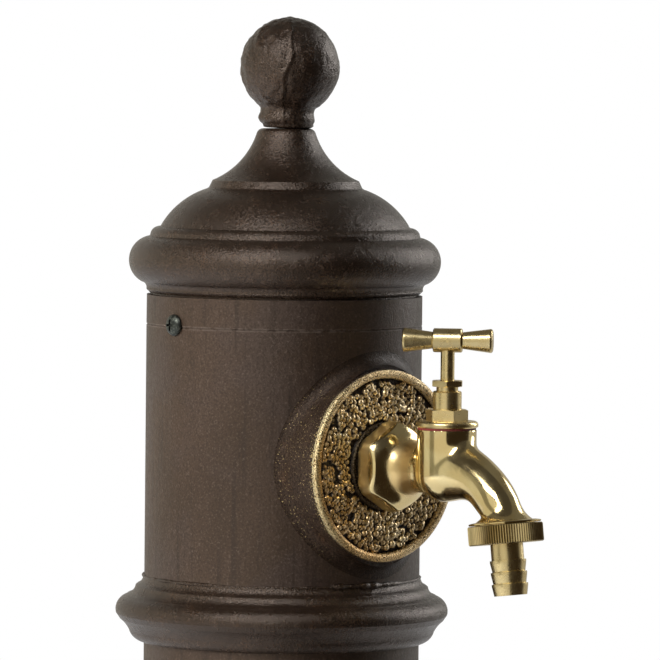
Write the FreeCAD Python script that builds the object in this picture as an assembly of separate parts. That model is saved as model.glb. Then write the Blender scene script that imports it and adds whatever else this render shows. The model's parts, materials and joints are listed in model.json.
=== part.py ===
import FreeCAD
import Part
import math
import os

# A free-standing garden fountain: a tubular column on a moulded foot, a domed cap with a ball finial,
# and a polished garden tap on a round boss at the front. Sizes are in millimetres.
# The origin is the centre of the foot's underside, +Z is up, and the tap points along -Y.

V = FreeCAD.Vector
AXIS_X, AXIS_Y, AXIS_Z = V(1, 0, 0), V(0, 1, 0), V(0, 0, 1)
ORIGIN = V(0, 0, 0)
spline_degree = 3         # of lofts; a higher one swings out past its sections

# Fits
seat_gap = 0.1            # radial gap between fixed pieces that slide together
running_gap = 0.1         # radial gap round anything that turns or slides
face_gap = 0.3            # gap between faces of pieces that move apart

# Column tube
column_radius = 63.5
column_wall = 4.0
tap_height = 780.0        # height of the tap's inlet axis, and so of the boss
column_above_tap = 75.0
groove_below_top = 13.6
groove_depth = 0.4
groove_half_width = 0.5
column_bore = column_radius - column_wall
column_top = tap_height + column_above_tap

# Foot casting
foot_radius = 120.0
foot_flange = 10.0
foot_height = 112.0
foot_seat_height = 30.0
foot_seat_ledge = 3.5     # how far the ledge reaches in past the tube's bore
foot_collar_wall = 5.0
foot_base_swell = 26.5    # how far the lowest torus stands out past the collar
anchor_hole_radius = 6.0
anchor_circle_radius = 104.0
anchor_count = 4
set_screw_radius = 3.0
set_screw_length = 9.0
set_screw_below_top = 20.0
set_screw_count = 3
set_screw_socket = 3.0    # width across the flats of the key socket

# Ring moulding on the column
ring_drop = 54.6          # its top edge below the tap axis
ring_height = 29.8
ring_swell = 13.1         # how far it stands out from the tube

# Cap
cap_spigot_length = 20.0
cap_spigot_wall = 5.0
cap_height = 76.6
cap_swell = 8.3           # how far its torus stands out from the tube
cap_shadow_gap = 0.9
cap_top_wall = 8.0
cap_top_radius = 12.4
cap_screw_radius = 2.5
cap_screw_length = 11.0
cap_screw_head_radius = 4.9
cap_screw_head_height = 2.9
cap_screw_below_top = 12.6
cap_screw_turn = -4.3     # degrees from +X
cap_screw_count = 2
screw_recess_width = 1.1
screw_recess_length = 5.4
screw_recess_depth = 1.5

# Finial
ball_radius = 23.2
ball_rise = 28.4          # ball centre above the cap's top
finial_neck_radius = 12.9
finial_foot_radius = 13.6
finial_gap = 1.0
finial_lean = 3.2         # degrees that it stands out of true on its stud
finial_lean_heading = -42.8
stud_radius = 4.0
stud_hole_radius = 4.6
stud_into_ball = 16.0
stud_tail = 9.5           # stud length below the cap's top wall
stud_washer_radius = 8.0
stud_washer_thickness = 1.6
stud_nut_width = 13.0
stud_nut_height = 5.5

# Boss and rosette
boss_radius = 44.0
boss_stand = 0.5          # how far the plate's seat stands out from the column
boss_lip = 2.4            # how far the boss's rim stands out from that seat
boss_fillet = 8.0
boss_spigot_radius = 36.5
boss_cavity_radius = 31.0
boss_cavity_depth = 10.0
boss_floor_thickness = 5.0
rosette_disc_radius = 39.6    # of the part that lies inside the boss's lip
rosette_rim_height = 5.0
rosette_rim_width = 4.2
rosette_field_thickness = 2.2
rosette_hub_radius = 20.0
rosette_hub_height = 4.0
rosette_hole_radius = 11.2
boss_front = column_radius + boss_stand       # distances of the faces from the column's axis
boss_rim_front = boss_front + boss_lip
boss_floor_front = boss_front - boss_cavity_depth

# Supply inside the column
riser_radius = 10.65
riser_wall = 2.65
elbow_radius = 14.5
elbow_reach = 28.0        # from its corner to each mouth
elbow_socket_depth = 15.0
elbow_band_height = 5.0
elbow_band_step = 1.5
waterway_radius = 7.0
bulkhead_neck_radius = 14.0
bulkhead_collar_width = 34.0
bulkhead_collar_thickness = 6.0
bulkhead_shank_radius = 10.4
bulkhead_nut_width = 36.0
bulkhead_nut_thickness = 6.0
coupling_radius = 14.0
coupling_length = 34.0
coupling_bottom = 12.0
coupling_thread_radius = 10.48
coupling_thread_depth = 14.0

# Tap body
inlet_thread_radius = 10.45
inlet_thread_length = 14.0
inlet_washer_radius = 17.0
inlet_washer_thickness = 1.2
inlet_hex_width = 36.4
inlet_hex_thickness = 4.7
inlet_hex_chamfer = 2.2   # length of the slope at its back
inlet_hex_back_radius = 19.2
inlet_corner_radius = 20.4
inlet_dome_length = 6.5   # the hexagon's front is rounded down to the neck over this length
inlet_dome_end_radius = 12.0
inlet_cove_length = 2.6
neck_radius = 10.3
neck_length = 27.3        # from the dome's end to the valve's axis
barrel_radius = 13.4
barrel_top = 18.7         # heights at the valve are above the inlet axis
barrel_bottom = -13.8
barrel_bowl_radius = 13.2     # round between the barrel's side and the flat at its bottom
neck_fillet = 5.0
chamber_radius = 9.0
chamber_top = 9.3
bonnet_thread_radius = 9.8
seat_hole_radius = 5.5
seat_thickness = 3.0
under_seat_radius = 6.5
under_seat_floor = -11.0
inlet_bore_radius = 6.5
inlet_bore_margin = 15.7      # from the bore's end to the valve's axis
drill_radius = 3.8
spout_radius = 9.7
spout_bore_radius = 5.8
spout_fillet = 8.0
spout_reach = 37.5        # of the outlet's flange from the valve's axis
spout_drop = 21.3         # of the outlet's flange below the inlet axis
outlet_tilt = 7.6         # degrees that the outlet leans away from the column
outlet_flange_radius = 16.2
outlet_flange_thickness = 0.9
# Oval sections down the spout. The first two numbers are shares of the way from the valve's axis to the
# outlet, out and down. Then come the fall in degrees and the half height and half width as shares of the
# spout's radius.
spout_sections = (
    (-0.10, -0.06, 4, 1.50, 1.20), (0.235, 0.0, 14, 1.39, 1.20), (0.49, 0.11, 27, 1.15, 1.08),
    (0.695, 0.295, 42, 1.03, 1.02), (0.855, 0.565, 58, 1.0, 1.0), (0.945, 0.77, 72, 0.98, 0.98))
spout_mouth = ((-2.9, 10.7), (-0.6, 13.8))      # last two sections: distance below the flange, radius
water_sections = ((0.14, -0.225, 0, 0.75, 0.75), (0.49, 0.06, 27, 0.9, 0.9), (0.84, 0.565, 58, 1.0, 1.0))
outlet_thread_radius = 13.2
outlet_thread_length = 4.4
hex_back = boss_front + rosette_hub_height + inlet_washer_thickness
hex_front = hex_back + inlet_hex_thickness
valve_reach = hex_front + inlet_dome_length + neck_length     # of the valve's axis from the column's axis

# Bonnet, gland and red washer
bonnet_washer_radius = 13.1
bonnet_washer_thickness = 1.0
bonnet_flange_radius = 14.1
bonnet_flange_thickness = 2.9
bonnet_hex_width = 16.8
bonnet_hex_height = 5.2
bonnet_hex_turn = 3.3     # degrees
bonnet_tower_radius = 6.5
bonnet_tower_height = 8.1
spindle_thread_radius = 4.6
spindle_thread_length = 16.8
bonnet_thread_room = 26.5     # top of the bore that the spindle's thread rises in
packing_floor = 28.5
packing_radius = 5.0
packing_height = 3.0
gland_shank_radius = 4.9
gland_hex_width = 13.2
gland_hex_height = 2.8
gland_hex_turn = 43.2
gland_lift = 2.0          # bare shank that shows between the bonnet and the gland's hexagon

# Spindle, jumper and handle
stem_radius = 3.13
handle_height = 58.6
jumper_disc_radius = 7.2
jumper_disc_bottom = 1.7
jumper_disc_thickness = 2.3
jumper_peg_radius = 2.2
jumper_peg_length = 8.0
jumper_stub_radius = 1.6
jumper_washer_radius = 7.0
jumper_nut_width = 5.5
jumper_nut_height = 1.8
seat_closing_gap = 0.05
handle_turn = -49.8       # degrees of the handle's bar from +X, valve closed
hub_radius = 5.4
hub_length = 13.0
hub_chamfer = 0.4
stem_into_hub = 3.0       # how far the stem rises past the hub's centre
grip_length = 13.8
grip_root_radius = 3.8
grip_end_radius = 5.35
grip_end_round = 0.7
grip_stub_radius = 2.2
grip_stub_length = 3.0
pin_radius = 0.8
pin_recess = 0.5

# Hose union
nut_radius = 16.8
nut_length = 8.8
nut_lip = 1.9
nut_knurls = 90
nut_knurl_depth = 0.45
nut_chamfer = 0.5
tail_washer_thickness = 1.2
tail_flange_radius = 12.4
tail_flange_thickness = 1.2
tail_radius = 8.0
tail_root_radius = 7.65
tail_barb_radius = 8.1
tail_barb_land = 0.9
tail_bore_radius = 5.75
tail_shank = 7.3
tail_barb_pitch = 5.25
tail_barb_count = 3


def outline(start, moves, flat=False):
    """Face bounded by lines and arcs. A move is a point, or a pair (point on the arc, end of the arc)."""
    def point(p):
        return V(p[0], p[1], 0) if flat else V(p[0], 0, p[1])
    edges = []
    here = start
    for move in moves:
        if isinstance(move[0], tuple):
            middle, end = move
            edges.append(Part.Arc(point(here), point(middle), point(end)).toShape())
        else:
            end = move
            edges.append(Part.makeLine(point(here), point(end)))
        here = end
    if (point(here) - point(start)).Length > 1e-6:
        edges.append(Part.makeLine(point(here), point(start)))
    return Part.Face(Part.Wire(edges))


def turned(start, *moves):
    """Solid turned about Z from (radius, height) points."""
    return outline(start, moves).revolve(ORIGIN, AXIS_Z, 360)


def rod(radius, bottom, top):
    return Part.makeCylinder(radius, top - bottom, V(0, 0, bottom))


def ring(outer, inner, bottom, top):
    return rod(outer, bottom, top).cut(rod(inner, bottom - 1, top + 1))


def hexagon(width, bottom, top, turn=0.0):
    """Hexagonal prism, width across its flats, with a corner at the angle turn."""
    corner = width / math.sqrt(3)
    angles = [math.radians(turn + 60 * i) for i in range(7)]
    wire = Part.makePolygon([V(corner * math.cos(a), corner * math.sin(a), bottom) for a in angles])
    return Part.Face(wire).extrude(V(0, 0, top - bottom))


def round_corners(prism, width, bottom, top, bevel=30.0):
    """Takes the corners of a hexagonal prism down to a circle at both ends, as on a turned nut."""
    flat = width / 2 - 0.1
    reach = width
    drop = (reach - flat) * math.tan(math.radians(bevel))
    lens = turned((0, bottom), (flat, bottom), (reach, bottom + drop), (reach, top - drop), (flat, top),
                  (0, top))
    return prism.common(lens)


def spread(shape, count, first=0.0):
    """Copies of a shape, evenly round Z."""
    copies = [shape.rotated(ORIGIN, AXIS_Z, first + 360.0 * i / count) for i in range(count)]
    return Part.makeCompound(copies)


def along_tap(shape):
    """Lays a shape made about Z along the tap's inlet axis, its Z measured from the column's axis."""
    return shape.rotated(ORIGIN, AXIS_X, 90).translated(V(0, 0, tap_height))


def at_valve(shape):
    """Moves a shape made about Z onto the valve's axis: its Z becomes the height above the inlet axis."""
    return shape.translated(V(0, -valve_reach, tap_height))


def at_outlet(shape):
    """Moves a shape made about Z onto the outlet's axis: its Z becomes the distance below the flange."""
    hanging = shape.rotated(ORIGIN, AXIS_X, 180 - outlet_tilt)
    return hanging.translated(V(0, -valve_reach - spout_reach, tap_height - spout_drop))


def on_side(shape, angle, distance, height):
    """Turns a shape made about Z so that its Z points away from the column's axis at that angle."""
    lying = shape.rotated(ORIGIN, AXIS_Y, 90).translated(V(distance, 0, height))
    return lying.rotated(ORIGIN, AXIS_Z, angle)


def leaning(shape):
    """Tips a finial piece about the stud's exit from the cap."""
    heading = math.radians(finial_lean_heading + 90)
    pivot = V(0, 0, column_top + cap_height)
    return shape.rotated(pivot, V(math.cos(heading), math.sin(heading), 0), finial_lean)


# Column and castings

def column_tube():
    tube = ring(column_radius, column_bore, foot_seat_height, column_top)
    groove_height = column_top - groove_below_top
    groove = turned((column_radius + 1, groove_height - 3 * groove_half_width),
                    (column_radius + 1, groove_height + 3 * groove_half_width),
                    (column_radius - groove_depth, groove_height))
    boss_hole = along_tap(rod(boss_spigot_radius + seat_gap, 0, column_radius + 10))
    screw_hole = rod(cap_screw_radius + seat_gap, column_bore - 2, column_radius + 2)
    screw_height = column_top - cap_screw_below_top
    holes = [on_side(screw_hole, cap_screw_turn + i * 360.0 / cap_screw_count, 0, screw_height)
             for i in range(cap_screw_count)]
    return tube.cut([groove, boss_hole] + holes)


def foot_casting():
    """Round foot with a torus, a cove and a bead below the collar that holds the tube."""
    collar = column_radius + foot_collar_wall
    base = collar + foot_base_swell
    socket = column_radius + seat_gap
    h = foot_height
    body = turned(
        (column_bore - foot_seat_ledge, 0), (foot_radius, 0), (foot_radius, foot_flange - 2),
        ((foot_radius - 0.6, foot_flange - 0.6), (foot_radius - 2, foot_flange)),
        (base - 6, foot_flange + 2),
        ((base, foot_flange + 10), (base - 6, foot_flange + 18)),
        (base - 10, foot_flange + 19.5),
        ((collar + 5.5, h * 0.37), (collar + 1.5, h * 0.52)),
        (collar + 3, h * 0.52), (collar + 3, h * 0.55),
        ((collar + 6.5, h * 0.595), (collar + 3, h * 0.64)),
        (collar, h * 0.65), (collar, h - 8), (collar + 2, h - 8),
        ((collar + 3.4, h - 5), (collar + 1.5, h - 2)),
        (socket + 1.5, h), (socket, h - 1.5),
        (socket, foot_seat_height), (column_bore - foot_seat_ledge, foot_seat_height))
    anchors = spread(rod(anchor_hole_radius, -1, foot_flange + 20).translated(V(anchor_circle_radius, 0, 0)),
                     anchor_count, 45)
    screw_hole = rod(set_screw_radius, column_radius - 1, collar + 8)
    threads = [on_side(screw_hole, 90 + i * 360.0 / set_screw_count, 0, h - set_screw_below_top)
               for i in range(set_screw_count)]
    return body.cut([anchors] + threads)


def foot_set_screws():
    """Grub screws through the foot's collar that clamp the tube."""
    screw = rod(set_screw_radius, 0, set_screw_length)
    socket = hexagon(set_screw_socket, set_screw_length - 3, set_screw_length + 1)
    screw = screw.cut(socket)
    return Part.makeCompound([
        on_side(screw, 90 + i * 360.0 / set_screw_count, column_radius, foot_height - set_screw_below_top)
        for i in range(set_screw_count)])


def mid_ring():
    """Moulding round the tube: a cove, a bold torus and a small lip."""
    r, s, h = column_radius, ring_swell, ring_height
    top = tap_height - ring_drop
    return turned(
        (r, top), (r + 0.5, top),
        ((r + 1.2, top - 0.085 * h), (r + 0.24 * s, top - 0.135 * h)),
        (r + 0.30 * s, top - 0.155 * h),
        ((r + 0.38 * s, top - 0.235 * h), (r + 0.60 * s, top - 0.295 * h)),
        (r + 0.66 * s, top - 0.315 * h),
        ((r + 0.965 * s, top - 0.44 * h), (r + 0.99 * s, top - 0.575 * h)),
        (r + 0.86 * s, top - 0.66 * h),
        ((r + 0.62 * s, top - 0.77 * h), (r + 0.53 * s, top - 0.835 * h)),
        ((r + 0.42 * s, top - 0.93 * h), (r + 0.18 * s, top - h)),
        (r, top - h))


def cap_dome():
    """Hollow cap: a torus over the tube's rim, a dome, and a cove that rises to the finial's seat."""
    r, t, top = column_radius, column_top, column_top + cap_height
    spigot = column_bore - seat_gap
    inner = spigot - cap_spigot_wall
    ceiling = top - cap_top_wall

    def at(radius_share, height_share):
        return radius_share * r, t + height_share * cap_height
    shell = turned(
        (inner, t - cap_spigot_length), (spigot, t - cap_spigot_length), (spigot, t),
        (r - 2.6, t), (r - 2.6, t + cap_shadow_gap), (r - 1.3, t + cap_shadow_gap),
        at(1.002, 0.030),
        (at(1.009, 0.060), at(1.041, 0.077)),
        ((r + cap_swell, t + 0.2167 * cap_height), at(0.991, 0.349)),
        at(0.981, 0.351), at(0.973, 0.376),
        (at(0.951, 0.397), at(0.906, 0.407)),
        (at(0.783, 0.535), at(0.569, 0.637)),
        at(0.556, 0.644), at(0.531, 0.687),
        (at(0.350, 0.787), (cap_top_radius + 1.3, top - 2.6)),
        ((cap_top_radius + 0.3, top - 0.8), (cap_top_radius - 1.6, top)),
        (0, top), (0, ceiling), (stud_washer_radius + 1, ceiling),
        (stud_washer_radius + 1, ceiling - 3),
        at(0.291, 0.725), at(0.512, 0.587), at(0.756, 0.490),
        (inner, t + 0.366 * cap_height))
    stud_hole = rod(stud_hole_radius, ceiling - 1, top + 1)
    thread = rod(cap_screw_radius, inner - 1, spigot + 1)
    holes = [on_side(thread, cap_screw_turn + i * 360.0 / cap_screw_count, 0, t - cap_screw_below_top)
             for i in range(cap_screw_count)]
    return shell.cut([stud_hole] + holes)


def cap_screws():
    """Pan head screws with a cross recess, through the tube into the cap's spigot."""
    head = turned((0, 0), (cap_screw_head_radius, 0), (cap_screw_head_radius, 0.9),
                  ((0.8 * cap_screw_head_radius, 0.75 * cap_screw_head_height), (0, cap_screw_head_height)))
    shank = rod(cap_screw_radius, 0.5 - cap_screw_length, 0.5)
    slot = Part.makeBox(screw_recess_length, screw_recess_width, 4)
    slot = slot.translated(V(-screw_recess_length / 2, -screw_recess_width / 2,
                             cap_screw_head_height - screw_recess_depth))
    screw = head.fuse(shank).cut([slot, slot.rotated(ORIGIN, AXIS_Z, 90)])
    seat = column_radius
    return Part.makeCompound([
        on_side(screw, cap_screw_turn + i * 360.0 / cap_screw_count, seat, column_top - cap_screw_below_top)
        for i in range(cap_screw_count)])


def finial_ball():
    """Ball on a short neck, bored for its stud."""
    top = column_top + cap_height
    centre = top + ball_rise
    foot = top + finial_gap
    join = math.sqrt(ball_radius ** 2 - (finial_neck_radius + 2.2) ** 2)
    ball = turned(
        (0, foot), (finial_foot_radius - 5, foot),
        ((finial_foot_radius - 1.6, foot + 1.0), (finial_foot_radius, foot + 3.2)),
        (finial_neck_radius, foot + 6.2),
        ((finial_neck_radius + 0.4, foot + 8.6), (finial_neck_radius + 2.2, centre - join)),
        ((ball_radius, centre), (0, centre + ball_radius)))
    return leaning(ball.cut(rod(stud_radius, foot - 1, foot + stud_into_ball)))


def finial_stud():
    top = column_top + cap_height
    return leaning(rod(stud_radius, top - cap_top_wall - stud_tail, top + finial_gap + stud_into_ball))


def stud_washer_top():
    """Height of the stud's washer: low enough that its tilted edge clears the cap's ceiling."""
    ceiling = column_top + cap_height - cap_top_wall
    return ceiling - stud_washer_radius * math.sin(math.radians(finial_lean))


def finial_washer():
    top = stud_washer_top()
    return leaning(ring(stud_washer_radius, stud_radius, top - stud_washer_thickness, top))


def finial_nut():
    top = stud_washer_top() - stud_washer_thickness
    nut = round_corners(hexagon(stud_nut_width, top - stud_nut_height, top), stud_nut_width,
                        top - stud_nut_height, top)
    return leaning(nut.cut(rod(stud_radius, top - 20, top + 20)))


# Boss, rosette and supply

def boss_casting():
    """Cup on the column's side: a saddle outside the tube and a floored spigot through its wall."""
    tube = rod(column_radius, tap_height - 2 * boss_radius, tap_height + 2 * boss_radius)
    far = boss_rim_front + 2 * boss_fillet
    saddle = along_tap(rod(boss_radius, 0, far)).fuse(tube)
    seam = [edge for edge in saddle.Edges if edge.BoundBox.YLength > 1 and edge.BoundBox.ZLength > 1]
    saddle = saddle.makeFillet(boss_fillet, seam).cut(tube)
    saddle = saddle.cut(along_tap(rod(2 * boss_radius, boss_rim_front, far + 1)))
    floor_back = boss_floor_front - boss_floor_thickness
    spigot = along_tap(rod(boss_spigot_radius, floor_back, boss_rim_front))
    seat = along_tap(rod(rosette_disc_radius + seat_gap, boss_front, boss_rim_front + 1))
    cavity = along_tap(rod(boss_cavity_radius, boss_floor_front, boss_rim_front))
    hole = along_tap(rod(bulkhead_neck_radius + seat_gap, floor_back - 1, boss_floor_front + 1))
    return saddle.fuse(spigot).cut([seat, cavity, hole])


def rosette_plate():
    """Round face plate with a raised rim and a plain hub; the relief's ground lies between them."""
    field = boss_front + rosette_field_thickness
    rim = boss_front + rosette_rim_height
    hub = boss_front + rosette_hub_height
    inner = boss_radius - rosette_rim_width
    return along_tap(turned(
        (rosette_hole_radius, boss_front), (rosette_disc_radius, boss_front),
        (rosette_disc_radius, boss_rim_front), (boss_radius - 0.2, boss_rim_front),
        (boss_radius, boss_rim_front + 0.2), (boss_radius, rim - 1.4),
        ((boss_radius - 0.5, rim - 0.4), (boss_radius - 1.6, rim)),
        ((inner + 0.8, rim - 0.2), (inner, rim - 1.2)),
        (inner - 0.5, field), (rosette_hub_radius + 0.6, field),
        (rosette_hub_radius, hub - 0.6), (rosette_hub_radius - 0.6, hub),
        (rosette_hole_radius, hub)))


def bulkhead_fitting():
    """Straight fitting clamped in the boss's floor, with the tap in its front and the elbow on its shank."""
    floor_back = boss_floor_front - boss_floor_thickness
    front = boss_front - 0.5
    thread_end = boss_front + rosette_hub_height + inlet_washer_thickness - inlet_thread_length - 2
    neck = rod(bulkhead_neck_radius, floor_back - 1, front)
    collar = hexagon(bulkhead_collar_width, floor_back - bulkhead_collar_thickness, floor_back)
    shank = rod(bulkhead_shank_radius, elbow_reach - elbow_socket_depth + 1, floor_back - 2)
    thread = rod(inlet_thread_radius + seat_gap, thread_end, front + 1)
    bore = rod(waterway_radius, 0, front + 1)
    return along_tap(neck.fuse([collar, shank]).cut([thread, bore]))


def bulkhead_nut():
    bottom, top = boss_floor_front, boss_floor_front + bulkhead_nut_thickness
    nut = round_corners(hexagon(bulkhead_nut_width, bottom, top, 15), bulkhead_nut_width, bottom, top)
    return along_tap(nut.cut(rod(bulkhead_neck_radius, bottom - 1, top + 1)))


def supply_elbow():
    """Right-angle elbow: one mouth down onto the riser, one forward onto the bulkhead fitting."""
    def limb(socket_radius):
        band = rod(elbow_radius + elbow_band_step, elbow_reach - elbow_band_height, elbow_reach)
        solid = rod(elbow_radius, 0, elbow_reach).fuse(band)
        socket = rod(socket_radius, elbow_reach - elbow_socket_depth, elbow_reach + 1)
        return solid, [socket, rod(waterway_radius, 0, elbow_reach)]
    forward, forward_bores = limb(bulkhead_shank_radius + seat_gap)
    down, down_bores = limb(riser_radius + seat_gap)
    corner = Part.makeSphere(elbow_radius, V(0, 0, tap_height))
    water_corner = Part.makeSphere(waterway_radius, V(0, 0, tap_height))

    def downward(shape):
        return shape.rotated(ORIGIN, AXIS_X, 180).translated(V(0, 0, tap_height))
    body = corner.fuse([along_tap(forward), downward(down)])
    bores = [water_corner] + [along_tap(b) for b in forward_bores] + [downward(b) for b in down_bores]
    return body.cut(bores)


def riser_pipe():
    bottom = coupling_bottom + coupling_length / 2
    top = tap_height - elbow_reach + elbow_socket_depth - 1
    return ring(riser_radius, riser_radius - riser_wall, bottom, top)


def inlet_coupling():
    """Socket at the riser's lower end, with a female thread for the supply pipe."""
    top = coupling_bottom + coupling_length
    body = turned((0, coupling_bottom), (coupling_radius - 0.8, coupling_bottom),
                  (coupling_radius, coupling_bottom + 0.8), (coupling_radius, top - 0.8),
                  (coupling_radius - 0.8, top), (0, top))
    thread = rod(coupling_thread_radius, coupling_bottom - 1, coupling_bottom + coupling_thread_depth)
    socket = rod(riser_radius, coupling_bottom + coupling_length / 2, top + 1)
    water = rod(waterway_radius, coupling_bottom, top)
    return body.cut([thread, socket, water])


# Tap

def in_tap_plane(reach, height):
    """Point in the tap's middle plane."""
    return V(0, -reach, tap_height + height)


def oval(centre, fall, half_height, half_width):
    """Section across the spout, which falls that many degrees below level there."""
    angle = math.radians(fall)
    up = V(0, -math.sin(angle), math.cos(angle)) * half_height
    side = AXIS_X * half_width
    if half_height > half_width:
        edge = Part.Ellipse(centre + up, centre + side, centre).toShape()
    elif half_height < half_width:
        edge = Part.Ellipse(centre + side, centre + up, centre).toShape()
    else:
        edge = Part.makeCircle(half_height, centre, AXIS_X.cross(up))
    return Part.Wire(edge)


def swan_neck(sections, radius, mouth):
    """Loft from the barrel down to the outlet. The mouth holds (distance below the flange, radius) pairs."""
    rings = []
    for along, down, fall, tall, wide in sections:
        centre = in_tap_plane(valve_reach + along * spout_reach, -down * spout_drop)
        rings.append(oval(centre, fall, tall * radius, wide * radius))
    for distance, mouth_radius in mouth:
        rings.append(oval(at_outlet(Part.Vertex(0, 0, distance)).Point, 90 - outlet_tilt,
                          mouth_radius, mouth_radius))
    return Part.makeLoft(rings, True, False, False, spline_degree)


def seams(solid, near, far):
    """Curved edges where two forms meet, between two distances in front of the valve's axis."""
    found = []
    for edge in solid.Edges:
        if edge.Length > 1e-3 and edge.Curve.TypeId == "Part::GeomBSplineCurve":
            if near < -edge.CenterOfMass.y - valve_reach < far:
                found.append(edge)
    return found


def tap_body():
    """Cast body: threaded inlet, hexagon, neck, valve barrel and a swan-necked spout with its flange."""
    bowl = barrel_bowl_radius
    quarter = bowl * math.sqrt(0.5)
    barrel = turned((0, barrel_bottom), (barrel_radius - bowl, barrel_bottom),
                    ((barrel_radius - bowl + quarter, barrel_bottom + bowl - quarter),
                     (barrel_radius, barrel_bottom + bowl)),
                    (barrel_radius, barrel_top), (0, barrel_top))
    dome_end = hex_front + inlet_dome_length
    cove_end = dome_end + inlet_cove_length
    solid = at_valve(barrel).fuse(swan_neck(spout_sections, spout_radius, spout_mouth))
    solid = solid.fuse(along_tap(rod(neck_radius, dome_end - 1, valve_reach)))
    solid = solid.makeFillet(spout_fillet, seams(solid, 0.3 * barrel_radius, 1.2 * barrel_radius))
    solid = solid.makeFillet(neck_fillet, seams(solid, -1.1 * barrel_radius, -0.5 * barrel_radius))

    corner = inlet_corner_radius
    end = inlet_dome_end_radius
    shaped = turned((0, hex_back), (inlet_hex_back_radius, hex_back), (corner, hex_back + inlet_hex_chamfer),
                    (corner, hex_front),
                    ((0.42 * end + 0.58 * corner, hex_front + 0.57 * inlet_dome_length), (end, dome_end)),
                    (0, dome_end))
    hexagonal = hexagon(inlet_hex_width, hex_back, dome_end, 90).common(shaped)
    cove = turned((0, dome_end - 1), (end, dome_end - 1), (end, dome_end),
                  ((0.65 * neck_radius + 0.35 * end, dome_end + 0.35 * inlet_cove_length),
                   (neck_radius, cove_end)), (0, cove_end))
    thread = rod(inlet_thread_radius, hex_back - inlet_thread_length, hex_back)
    mouth = rod(outlet_flange_radius, -outlet_flange_thickness, 0)
    mouth = mouth.fuse(rod(outlet_thread_radius, 0, outlet_thread_length))
    for piece in (along_tap(cove), along_tap(hexagonal), along_tap(thread), at_outlet(mouth)):
        solid = solid.fuse(piece)

    bore_end = [(0, spout_bore_radius), (outlet_thread_length + 1, spout_bore_radius)]
    inlet_end = valve_reach - inlet_bore_margin
    inlet_corner = in_tap_plane(inlet_end - drill_radius, 0)
    way_up = in_tap_plane(valve_reach, (under_seat_floor - seat_thickness) / 2) - inlet_corner
    bores = [
        along_tap(rod(inlet_bore_radius, hex_back - inlet_thread_length - 1, inlet_end)),
        Part.makeCylinder(drill_radius, way_up.Length, inlet_corner, way_up),
        at_valve(rod(under_seat_radius, under_seat_floor, -seat_thickness)),
        at_valve(rod(seat_hole_radius, under_seat_floor, 1)),
        at_valve(rod(chamber_radius, 0, chamber_top)),
        at_valve(rod(bonnet_thread_radius + seat_gap, chamber_top, barrel_top + 1)),
        swan_neck(water_sections, spout_bore_radius, bore_end)]
    for bore in bores:
        solid = solid.cut(bore)
    return solid


def inlet_washer():
    return along_tap(ring(inlet_washer_radius, inlet_thread_radius + seat_gap,
                          hex_back - inlet_washer_thickness, hex_back))


bonnet_seat = barrel_top + bonnet_washer_thickness
bonnet_flange_top = bonnet_seat + bonnet_flange_thickness
bonnet_hex_top = bonnet_flange_top + bonnet_hex_height
bonnet_top = bonnet_hex_top + bonnet_tower_height


def bonnet_washer():
    return at_valve(ring(bonnet_washer_radius, bonnet_thread_radius + seat_gap, barrel_top, bonnet_seat))


def bonnet():
    """Valve head: thread, rounded flange, hexagon and a tower that is bored for the gland."""
    r, t = bonnet_flange_radius, bonnet_flange_top
    base = turned((0, chamber_top), (bonnet_thread_radius, chamber_top), (bonnet_thread_radius, bonnet_seat),
                  (r - 0.5, bonnet_seat), (r, bonnet_seat + 0.5), (r, t - 1.6),
                  ((r - 0.5, t - 0.5), (r - 1.8, t)), (0, t))
    hexagonal = hexagon(bonnet_hex_width, t - 0.5, bonnet_hex_top, bonnet_hex_turn)
    hexagonal = round_corners(hexagonal, bonnet_hex_width, t - 6, bonnet_hex_top, 20)
    tower = turned((0, t), (bonnet_tower_radius, t), (bonnet_tower_radius, bonnet_top - 0.5),
                   (bonnet_tower_radius - 0.5, bonnet_top), (0, bonnet_top))
    bores = [rod(spindle_thread_radius + running_gap, chamber_top - 1, bonnet_thread_room),
             rod(stem_radius + running_gap, bonnet_thread_room - 1, packing_floor + 1),
             rod(packing_radius, packing_floor, bonnet_top + 1)]
    return at_valve(base.fuse([hexagonal, tower]).cut(bores))


def packing_ring():
    return at_valve(ring(packing_radius, stem_radius + running_gap, packing_floor,
                         packing_floor + packing_height))


gland_hex_bottom = bonnet_top + gland_lift
gland_top = gland_hex_bottom + gland_hex_height


def gland_nut():
    """Gland nut that presses on the packing."""
    hexagonal = hexagon(gland_hex_width, gland_hex_bottom, gland_top, gland_hex_turn)
    hexagonal = round_corners(hexagonal, gland_hex_width, gland_hex_bottom, gland_top, 20)
    shank = rod(gland_shank_radius, packing_floor + packing_height, gland_hex_bottom)
    return at_valve(hexagonal.fuse(shank).cut(rod(stem_radius + running_gap, 0, gland_top + 1)))


jumper_disc_top = jumper_disc_bottom + jumper_disc_thickness


def jumper():
    """Loose valve plate: a peg up into the spindle, and a stub down through its washer."""
    disc = rod(jumper_disc_radius, jumper_disc_bottom, jumper_disc_top)
    peg = rod(jumper_peg_radius, jumper_disc_bottom, jumper_disc_top + jumper_peg_length)
    stub = rod(jumper_stub_radius, seat_closing_gap - jumper_nut_height, jumper_disc_bottom + 1)
    return at_valve(disc.fuse([peg, stub]))


def jumper_washer():
    return at_valve(ring(jumper_washer_radius, jumper_stub_radius, seat_closing_gap, jumper_disc_bottom))


def jumper_nut():
    nut = hexagon(jumper_nut_width, seat_closing_gap - jumper_nut_height, seat_closing_gap)
    return at_valve(nut.cut(rod(jumper_stub_radius, -5, 5)))


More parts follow.
